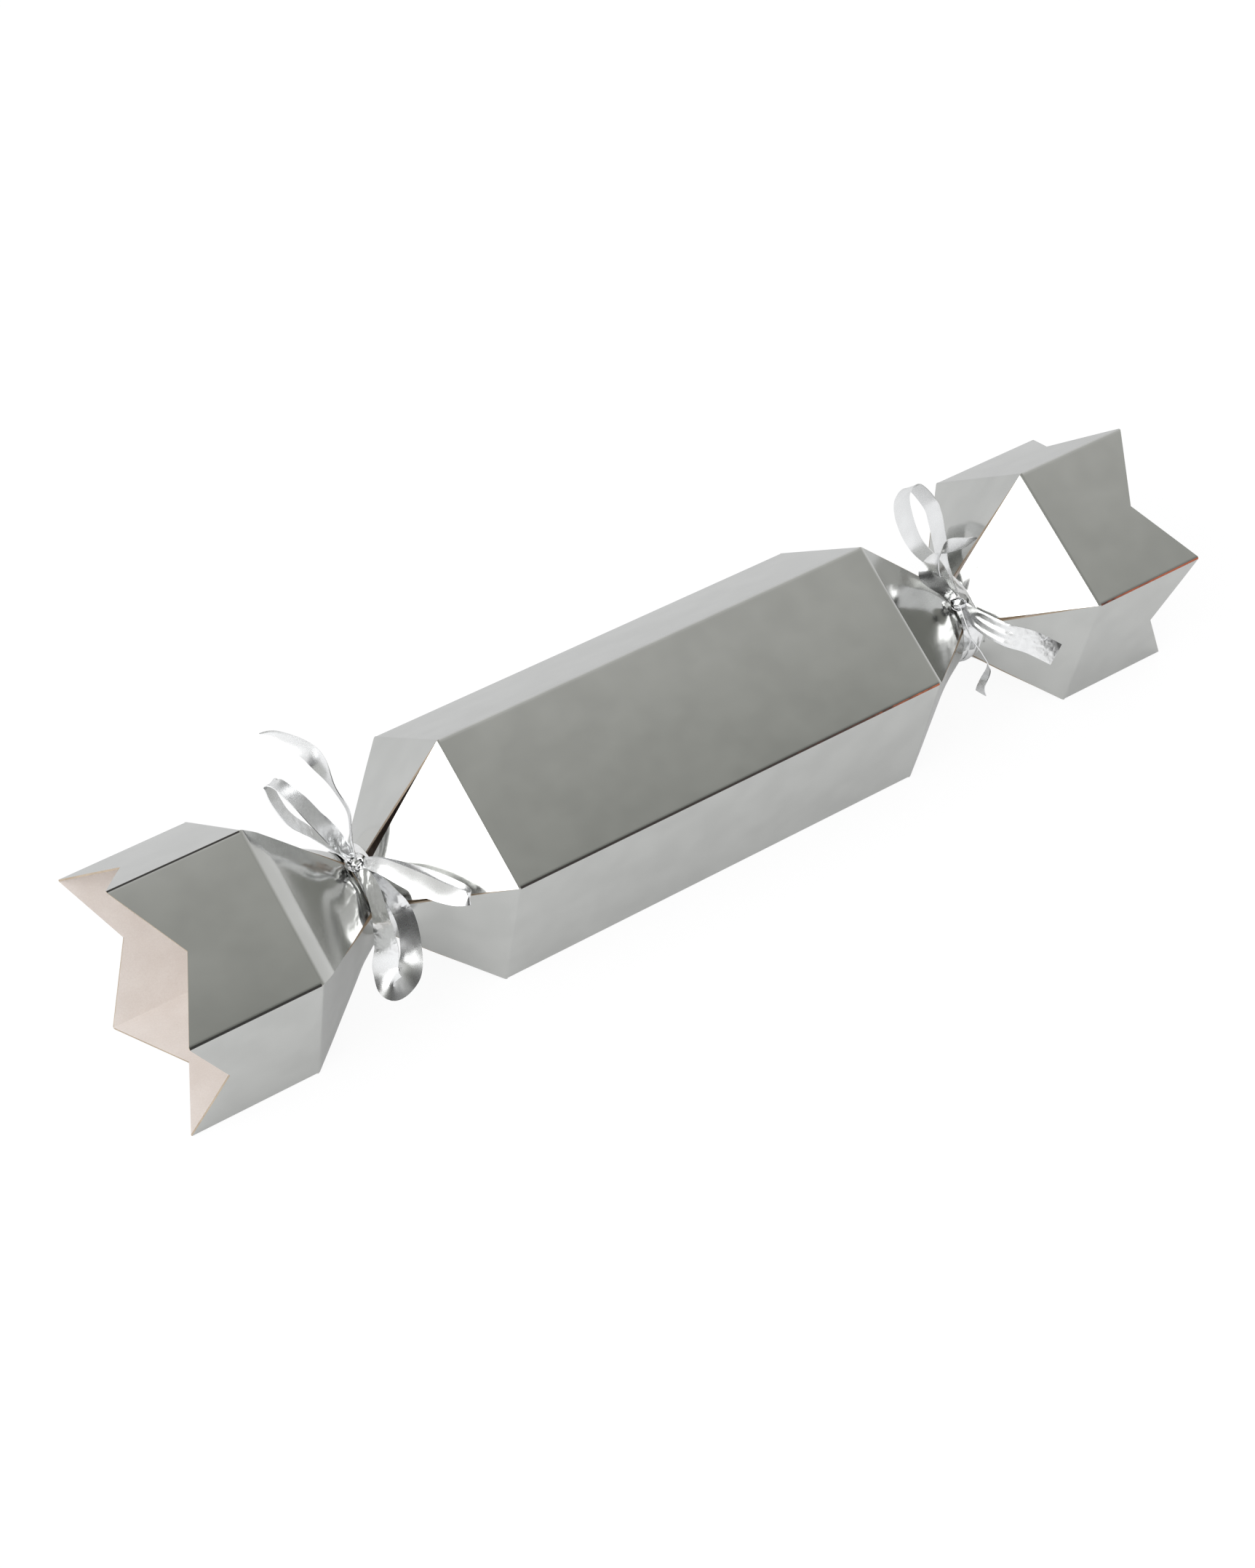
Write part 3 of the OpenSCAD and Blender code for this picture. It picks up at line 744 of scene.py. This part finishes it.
def make_necks(mats):
    card = [mats["foil"], mats["inside"], mats["edge"]]
    foil = [mats["crinkled"]] * 3
    under_turn = dict(half=2.5, thick=RIBBON_T, rows=9, tilt=0.04, seed=1.0, crease=0.22)
    over_turn = dict(half=1.9, thick=RIBBON_T, rows=9, tilt=-0.07, seed=5.0, crease=0.3)
    for side in SIDES:
        webs = neck_ring(side, lambda t: -0.5, half=2.4, thick=0.4, rows=4)
        neck = solid_piece(side + "_neck_card", [webs], card)
        finish_piece(neck, side + "_tie", [side + "_neck_webs"])
        turns = [
            neck_ring(side, lambda t: 0.35 + 0.1 * t, **under_turn),
            neck_ring(side, lambda t: 0.75 - 0.25 * abs(t), **over_turn),
        ]
        wrap = solid_piece(side + "_ribbon_turns", turns, foil)
        finish_piece(wrap, side + "_tie", [side + "_ribbon_wrap"])


# Middles of the knots, as shares of the bow size from the middle of their neck
KNOT_PLACES = {"left": np.array([-0.05, -0.04, 0.42]), "right": np.array([-0.05, -0.17, 0.32])}
# A strand's root in its knot: share of the knot's radius and share of the ribbon's width
ROOT_REACH = 0.6
ROOT_WIDTH = 0.45

# Ribbon strands: rows of place, direction across the ribbon and share of its width. Places are
# shares of the bow size from the middle of the neck.
STRANDS = {
    "left_tail": [
        [[-0.05, 0, 0.6], [-0.2, -0.6, 0.7], 0.7],
        [[0, 0.1, 0.8], [-0.2, -0.6, 0.8], 0.85],
        [[-0.05, 0.2, 1], [-0.2, -0.6, 0.8], 0.95],
        [[-0.1, 0.4, 1.2], [0.5, 0, 0.8], 0.7],
        [[-0.25, 0.6, 1.3], [0.5, 0, 0.8], 0.45],
        [[-0.35, 0.7, 1.3], [0.5, 0, 0.8], 0.1],
    ],
    "left_back_loop": [
        [[-0.15, 0.05, 0.65], [0.8, 0.6, 0], 0.8],
        [[-0.25, 0.1, 0.85], [0.7, 0.7, -0.2], 0.95],
        [[-0.35, 0.15, 1.05], [0.7, 0.6, -0.4], 1],
        [[-0.45, 0.25, 1.2], [0.7, 0.6, -0.5], 1],
        [[-0.5, 0.3, 1.2], [0.6, 0.6, -0.5], 1],
        [[-0.5, 0.25, 1.1], [0.6, 0.6, -0.5], 1],
        [[-0.45, 0.15, 0.95], [0.6, 0.6, -0.5], 0.9],
        [[-0.3, 0.1, 0.75], [0.6, 0.6, -0.5], 0.7],
    ],
    "left_barrel_loop": [
        [[0.05, -0.25, 0.5], [0.7, 0.5, 0.5], 0.6],
        [[0.2, -0.5, 0.45], [0.7, 0.5, 0.5], 0.8],
        [[0.35, -0.7, 0.4], [0.7, 0.5, 0.5], 0.7],
        [[0.45, -0.8, 0.4], [0.5, 0.5, 0.7], 0.5],
        [[0.45, -0.7, 0.4], [0.5, 0.5, 0.7], 0.5],
        [[0.3, -0.5, 0.45], [0.5, 0.4, 0.8], 0.6],
        [[0.1, -0.2, 0.45], [0.5, 0.4, 0.8], 0.5],
    ],
    "left_down_loop": [
        [[-0.05, -0.25, 0.35], [0.5, -0.5, 0.7], 0.7],
        [[-0.1, -0.45, 0.25], [0.5, -0.5, 0.7], 0.8],
        [[-0.15, -0.6, 0.05], [0.7, -0.4, 0.6], 0.95],
        [[-0.2, -0.65, -0.1], [0.7, -0.3, 0.6], 1],
        [[-0.2, -0.75, -0.2], [0.5, 0.6, 0.6], 1],
        [[-0.05, -0.7, -0.2], [0, 0.8, 0.6], 1],
        [[0.05, -0.6, -0.1], [-0.9, 0.4, -0.1], 0.8],
        [[0.1, -0.45, 0.1], [-1, 0.2, 0.1], 0.75],
        [[0.05, -0.3, 0.3], [-0.6, 0.6, -0.4], 0.6],
    ],
    "right_loop": [
        [[-0.1, 0.05, 0.55], [0.1, -0.5, 0.8], 0.75],
        [[-0.1, 0.35, 0.6], [0.1, -0.6, 0.8], 0.9],
        [[0.05, 0.7, 0.6], [0.1, -0.7, 0.7], 1],
        [[0.2, 0.9, 0.6], [-0.1, -0.8, 0.6], 1],
        [[0.35, 0.95, 0.6], [0, -0.7, 0.7], 1],
        [[0.45, 0.85, 0.45], [0.1, -0.6, 0.8], 1],
        [[0.4, 0.7, 0.4], [0.1, -0.6, 0.8], 1],
        [[0.25, 0.45, 0.4], [0.1, -0.6, 0.8], 0.9],
        [[0.05, 0.15, 0.45], [0.1, -0.6, 0.8], 0.6],
    ],
    "right_curl_tail": [
        [[-0.2, -0.1, 0.5], [0.2, -0.6, 0.8], 0.8],
        [[-0.3, -0.1, 0.65], [0.3, -0.6, 0.7], 1],
        [[-0.3, -0.1, 0.75], [0.2, -0.6, 0.8], 1],
        [[-0.25, -0.1, 0.85], [0, -0.6, 0.8], 1],
        [[-0.15, -0.1, 0.9], [-0.1, -0.2, 1], 0.9],
        [[0, -0.15, 0.9], [-0.1, -0.3, 0.9], 0.7],
        [[0.1, -0.15, 0.9], [0, -0.3, 0.9], 0.1],
    ],
    "right_flat_tail": [
        [[0, -0.4, 0.25], [0.3, 0, 0.9], 0.85],
        [[0.1, -0.6, 0.2], [0.4, 0.1, 0.9], 0.95],
        [[0.25, -0.75, 0.15], [0.4, 0.1, 0.9], 1],
        [[0.4, -0.9, 0.05], [0.5, 0.2, 0.8], 0.95],
    ],
    "right_hanging_tail": [
        [[-0.1, -0.4, 0.15], [-0.4, -0.7, 0.3], 0.3],
        [[0, -0.45, -0.05], [-0.4, -0.7, 0.3], 0.4],
        [[0.05, -0.5, -0.2], [-0.4, -0.7, 0.2], 0.5],
        [[-0.05, -0.55, -0.3], [-0.2, -0.9, 0.2], 0.5],
        [[-0.05, -0.55, -0.4], [0.2, -0.9, 0], 0.55],
    ],
}


def with_roots(name):
    """The strand's rows with its root rows in the knot."""
    knot = KNOT_PLACES[name.split("_")[0]]
    rows = [(np.array(p, float), np.array(a, float), float(w)) for p, a, w in STRANDS[name]]

    def root(row):
        reach = KNOT_R * ROOT_REACH / BOW_REACH
        return (knot + unit(row[0] - knot) * reach, row[1], ROOT_WIDTH)

    return [root(rows[0])] + rows + ([root(rows[-1])] if "loop" in name else [])


def along_rows(rows, column, u):
    """Smooth value of one column at u rows along the strand."""
    i = min(int(u), len(rows) - 2)
    t = u - i
    a, b, c, d = (rows[max(0, min(len(rows) - 1, i + k))][column] for k in (-1, 0, 1, 2))
    bend = (2 * a - 5 * b + 4 * c - d) * t**2 + (3 * b - a - 3 * c + d) * t**3
    return (2 * b + (c - a) * t + bend) / 2


# Per strand: cup of the section, crumple near the knot and far from it, waviness of the edges
STRAND_LOOKS = {
    "left_tail": (0.15, 0.05, 0.0, 0.02),
    "left_back_loop": (0.1, 0.12, 0.01, 0.05),
    "left_barrel_loop": (0.15, 0.05, 0.0, 0.1),
    "left_down_loop": (0.05, 0.12, 0.02, 0.05),
    "right_loop": (0.1, 0.05, 0.0, 0.02),
    "right_curl_tail": (0.15, 0.04, 0.0, 0.03),
    "right_flat_tail": (0.1, 0.1, 0.05, 0.03),
    "right_hanging_tail": (0.05, 0.02, 0.0, 0.02),
}

# Lengthwise pleats pressed into a strand: first row, last row and depth
PLEATS = {"right_flat_tail": (0.6, 2.4, 0.16), "left_tail": (0.0, 1.6, 0.1)}

# Spans between rows where the ribbon is crinkled from being pulled tight
CRINKLED_SPANS = {
    "left_tail": [(0, 1.2)],
    "left_back_loop": [(0, 2.8), (7.8, 10)],
    "left_barrel_loop": [(0, 0.6), (7.6, 9)],
    "left_down_loop": [(0, 3.2), (8.2, 11)],
    "right_loop": [(0, 0.6), (9.5, 11)],
    "right_curl_tail": [(0, 0.6)],
    "right_flat_tail": [(2.3, 5)],
    "right_hanging_tail": [],
}
# Points along a strand from one row to the next, and across it
STRAND_STEPS = 14
STRAND_COLS = 13
# Rows to each side that the ribbon's direction is taken from
LOOK_AHEAD = 0.05
# How soon the crumple fades away from the knot, in rows squared
CRUMPLE_FADE = 2.5
# Half waves of the pleats on each side of the middle of the ribbon
PLEAT_WAVES = 2.5


def strand_sheet(name, seed):
    rows = with_roots(name)
    cup, crumple_near, crumple_far, edge_wave = STRAND_LOOKS[name]
    pleat_start, pleat_end, pleat_depth = PLEATS.get(name, (0, 1, 0))
    top = len(rows) - 1
    total = top * STRAND_STEPS + 1
    outer = np.zeros((total, STRAND_COLS, 3))
    inner = np.zeros((total, STRAND_COLS, 3))
    for k in range(total):
        u = k / STRAND_STEPS
        place = along_rows(rows, 0, u) * BOW_REACH
        ahead = along_rows(rows, 0, min(u + LOOK_AHEAD, top))
        behind = along_rows(rows, 0, max(u - LOOK_AHEAD, 0))
        head = unit(ahead - behind)
        side = along_rows(rows, 1, u)
        side = unit(side - head * (side @ head))
        face = np.cross(head, side)
        half = along_rows(rows, 2, u) * RIBBON_W / 2
        from_root = min(u, top - u) if "loop" in name else u
        near_root = math.exp(-(from_root**2) / CRUMPLE_FADE)
        crumple = crumple_far + (crumple_near - crumple_far) * near_root
        pleated = smooth(pleat_start, pleat_start + 0.4, u)
        pleated = pleated * (1 - smooth(pleat_end - 0.3, pleat_end, u))
        for c in range(STRAND_COLS):
            t = -1 + 2 * c / (STRAND_COLS - 1)
            spread = half * (1 + edge_wave * 0.3 * ripple(k * 0.35, t * 2, seed, 1.6, seed))
            p = place + side * spread * t
            p = p + face * pleat_depth * pleated * math.cos(PLEAT_WAVES * math.pi * t)
            fold = 1 - 2 * abs(ripple(p[0], p[1], p[2], 1.7, seed))
            flutter = edge_wave * 0.5 * ripple(k * 0.3, t, seed, 2.0, seed + 9)
            p = p + face * (cup * (1 - t * t) + crumple * (fold - 0.6) + flutter)
            outer[k, c] = p + face * RIBBON_T / 2
            inner[k, c] = p - face * RIBBON_T / 2
    return outer, inner


def make_strands(mats):
    plain, crinkled = 0, 1
    foil = [mats["ribbon"], mats["crinkled"], mats["ribbon"]]
    for number, name in enumerate(STRANDS):
        side = name.split("_")[0]
        neck = np.array([SIDES[side] * NECK_X, 0.0, NECK_Z])
        outer, inner = strand_sheet(name, 1.0 + number * 2.7)

        def kind_of(r, c, spans=CRINKLED_SPANS[name]):
            return crinkled if any(a <= r / STRAND_STEPS < b for a, b in spans) else plain

        sheet = sheet_solid(outer + neck, inner + neck, False, kind_of, kind_of)
        piece = solid_piece(name + "_foil", [sheet], foil)
        finish_piece(piece, side + "_tie", [name])


# Knots: crumpled turns of ribbon drawn tight on each other. Each turn has an axis, a radius, a
# width and a seed.
KNOT_TURNS = {
    "left": [
        ((0.35, 0.8, -0.5), 2.5, 4.4, 1.0),
        ((0.9, -0.2, 0.4), 2.1, 3.6, 4.0),
        ((-0.3, 0.6, 0.75), 1.6, 3.4, 7.0),
    ],
    "right": [
        ((0.5, 0.75, -0.3), 2.5, 4.2, 2.0),
        ((0.9, -0.3, 0.2), 2.1, 3.6, 5.0),
        ((0.2, 0.6, 0.8), 1.6, 3.2, 8.0),
    ],
}
TURN_STEPS = 56
TURN_COLS = 7
TURN_SQUASH = 0.8


def knot_turn(centre, axis, radius, width, seed):
    axis = unit(np.array(axis, float))
    first = unit(np.cross(axis, [0.3, 0.2, 1.0]))
    second = np.cross(axis, first)
    outer = np.zeros((TURN_COLS, TURN_STEPS, 3))
    inner = np.zeros((TURN_COLS, TURN_STEPS, 3))
    for k in range(TURN_STEPS):
        a = 2 * math.pi * k / TURN_STEPS
        n = first * math.cos(a) + second * math.sin(a) * TURN_SQUASH
        half = width / 2 * (0.8 + 0.2 * math.cos(2 * a + seed))
        for c in range(TURN_COLS):
            t = -1 + 2 * c / (TURN_COLS - 1)
            base = n * radius + axis * t * half
            fold = 1 - 2 * abs(ripple(*base, 1.3, seed))
            p = base + n * (0.35 * (fold - 0.6) - 0.45 * t * t)
            outer[c, k] = centre + p + n * RIBBON_T / 2
            inner[c, k] = centre + p - n * RIBBON_T / 2
    return sheet_solid(outer, inner, True)


def make_knots(mats):
    foil = [mats["crinkled"]] * 3
    for side, sign in SIDES.items():
        centre = KNOT_PLACES[side] * BOW_REACH + np.array([sign * NECK_X, 0.0, NECK_Z])
        parts = [knot_turn(centre, *turn) for turn in KNOT_TURNS[side]]
        piece = solid_piece(side + "_knot_foil", parts, foil)
        finish_piece(piece, side + "_tie", [side + "_knot"])


# Finishes of the CAD pieces that stay: laps, snap and contents
def dress_cad_pieces(mats):
    finishes = {
        "barrel_glue_lap": "inside",
        "left_cuff_glue_lap": "inside",
        "right_cuff_glue_lap": "inside",
        "snap_left_strip": "snap",
        "snap_right_strip": "snap",
        "snap_sleeve": "slip",
        "paper_hat": "hat",
        "motto_slip": "slip",
        "spinning_top": "wood",
    }
    for node, finish in finishes.items():
        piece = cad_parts[node]
        piece.data.materials.clear()
        piece.data.materials.append(mats[finish])

# Floor, lamp and surroundings. The floor lies a hair under the cracker. It is part white light and
# part plain surface to what sees it, and all other light meets the plain surface alone.
FLOOR_HALF = 3
FLOOR_DROP = 0.0001
LIGHT_SHARE = 0.28
MORE_FOR_CAMERA = 0.6


def make_floor():
    mesh = bpy.data.meshes.new("floor")
    ring = ((-1, -1), (1, -1), (1, 1), (-1, 1))
    points = [(x * FLOOR_HALF, y * FLOOR_HALF, -FLOOR_DROP) for x, y in ring]
    mesh.from_pydata(points, [], [(0, 1, 2, 3)])
    floor = bpy.data.objects.new("floor", mesh)
    bpy.context.scene.collection.objects.link(floor)
    material = bpy.data.materials.new("white_floor")
    material.use_nodes = True
    tree = material.node_tree
    tree.nodes.clear()
    output = tree.nodes.new("ShaderNodeOutputMaterial")
    path = tree.nodes.new("ShaderNodeLightPath")
    seen = math_of(tree, "MAXIMUM", path.outputs["Is Camera Ray"], path.outputs["Is Glossy Ray"])
    seen = math_of(tree, "MAXIMUM", seen, path.outputs["Is Transmission Ray"])
    plain = node_of(tree, "ShaderNodeBsdfDiffuse", Color=(0.88, 0.88, 0.88, 1.0))
    glow = node_of(tree, "ShaderNodeEmission", Color=(1.0, 1.0, 1.0, 1.0), Strength=1.04)
    mixed = tree.nodes.new("ShaderNodeMixShader")
    share = math_of(
        tree, "MULTIPLY_ADD", path.outputs["Is Camera Ray"], MORE_FOR_CAMERA, LIGHT_SHARE
    )
    wire(tree, math_of(tree, "MULTIPLY", seen, share), mixed.inputs[0])
    wire(tree, plain.outputs[0], mixed.inputs[1])
    wire(tree, glow.outputs[0], mixed.inputs[2])
    wire(tree, mixed.outputs[0], output.inputs["Surface"])
    mesh.materials.append(material)


LAMP_SIZE = 1.3
LAMP_POWER = 14.0
LAMP_DISTANCE = 1.7


def make_lights():
    lamp = bpy.data.lights.new("softbox", "AREA")
    lamp.shape = "SQUARE"
    lamp.size = LAMP_SIZE
    lamp.energy = LAMP_POWER
    softbox = bpy.data.objects.new("softbox", lamp)
    bpy.context.scene.collection.objects.link(softbox)
    way = Vector((-0.70, -0.224, 0.675)).normalized()
    softbox.location = way * LAMP_DISTANCE
    softbox.rotation_mode = "QUATERNION"
    softbox.rotation_quaternion = way.to_track_quat("Z", "Y")


def facing(tree, direction, way, low, high):
    """0 to 1 as a direction of the surroundings comes within a cone round way."""
    dot = node_of(tree, "ShaderNodeVectorMath", operation="DOT_PRODUCT")
    wire(tree, direction, dot.inputs[0])
    dot.inputs[1].default_value = Vector(way).normalized()
    spread = node_of(tree, "ShaderNodeMapRange", interpolation_type="SMOOTHSTEP")
    spread.inputs["From Min"].default_value = low
    spread.inputs["From Max"].default_value = high
    wire(tree, dot.outputs["Value"], spread.inputs["Value"])
    return spread.outputs["Result"]


# Tones of the studio that the foil mirrors: the ceiling from the front to the back, the walls, a
# dark place in front and a pale one above the far side
CEILING_TONES = [
    (0.1, (0.04, 0.04, 0.038)),
    (0.25, (0.2, 0.205, 0.19)),
    (0.335, (0.46, 0.465, 0.44)),
    (0.4, (0.62, 0.62, 0.6)),
    (0.6, (0.7, 0.7, 0.69)),
]
WALL_TONE = (0.9, 0.9, 0.9)
DARK_TONE = (0.05, 0.05, 0.048)
PALE_TONE = (0.85, 0.85, 0.84)


def make_world():
    """White to the camera, level light for matt surfaces and a studio for the foil."""
    world = bpy.data.worlds.new("studio")
    bpy.context.scene.world = world
    world.use_nodes = True
    tree = world.node_tree
    tree.nodes.clear()
    output = tree.nodes.new("ShaderNodeOutputWorld")
    coords = tree.nodes.new("ShaderNodeTexCoord")
    direction = coords.outputs["Generated"]
    split = tree.nodes.new("ShaderNodeSeparateXYZ")
    wire(tree, direction, split.inputs[0])
    height = math_of(tree, "MULTIPLY_ADD", split.outputs["Z"], 0.5, 0.5)
    depth = math_of(tree, "MULTIPLY_ADD", split.outputs["Y"], 0.5, 0.5)
    ceiling = ramp(tree, depth, CEILING_TONES)
    overhead = ramp(tree, height, [(0.62, 0.0), (0.82, 1.0)])
    room = mix_colour(tree, overhead, WALL_TONE, ceiling)
    dark_front = facing(tree, direction, (0.25, -0.97, 0.08), 0.72, 0.93)
    room = mix_colour(tree, dark_front, room, DARK_TONE)
    pale_far_side = facing(tree, direction, (0.4, 0.66, 0.64), 0.88, 0.99)
    room = mix_colour(tree, pale_far_side, room, PALE_TONE)
    path = tree.nodes.new("ShaderNodeLightPath")
    white = node_of(tree, "ShaderNodeBackground", Color=(1.0, 1.0, 1.0, 1.0), Strength=1.0)
    level = node_of(tree, "ShaderNodeBackground", Color=(0.98, 0.99, 1.0, 1.0), Strength=0.75)
    studio = node_of(tree, "ShaderNodeBackground", Strength=1.0)
    wire(tree, room, studio.inputs["Color"])
    first = tree.nodes.new("ShaderNodeMixShader")
    wire(tree, path.outputs["Is Glossy Ray"], first.inputs[0])
    wire(tree, level.outputs[0], first.inputs[1])
    wire(tree, studio.outputs[0], first.inputs[2])
    second = tree.nodes.new("ShaderNodeMixShader")
    camera_ray, through_ray = path.outputs["Is Camera Ray"], path.outputs["Is Transmission Ray"]
    wire(tree, math_of(tree, "MAXIMUM", camera_ray, through_ray), second.inputs[0])
    wire(tree, first.outputs[0], second.inputs[1])
    wire(tree, white.outputs[0], second.inputs[2])
    wire(tree, second.outputs[0], output.inputs["Surface"])


bpy.context.scene.view_settings.view_transform = "Standard"
make_camera()
materials = make_materials()
make_tubes(materials)
make_flaps(materials)
make_necks(materials)
make_strands(materials)
make_knots(materials)
dress_cad_pieces(materials)
make_floor()
make_lights()
make_world()
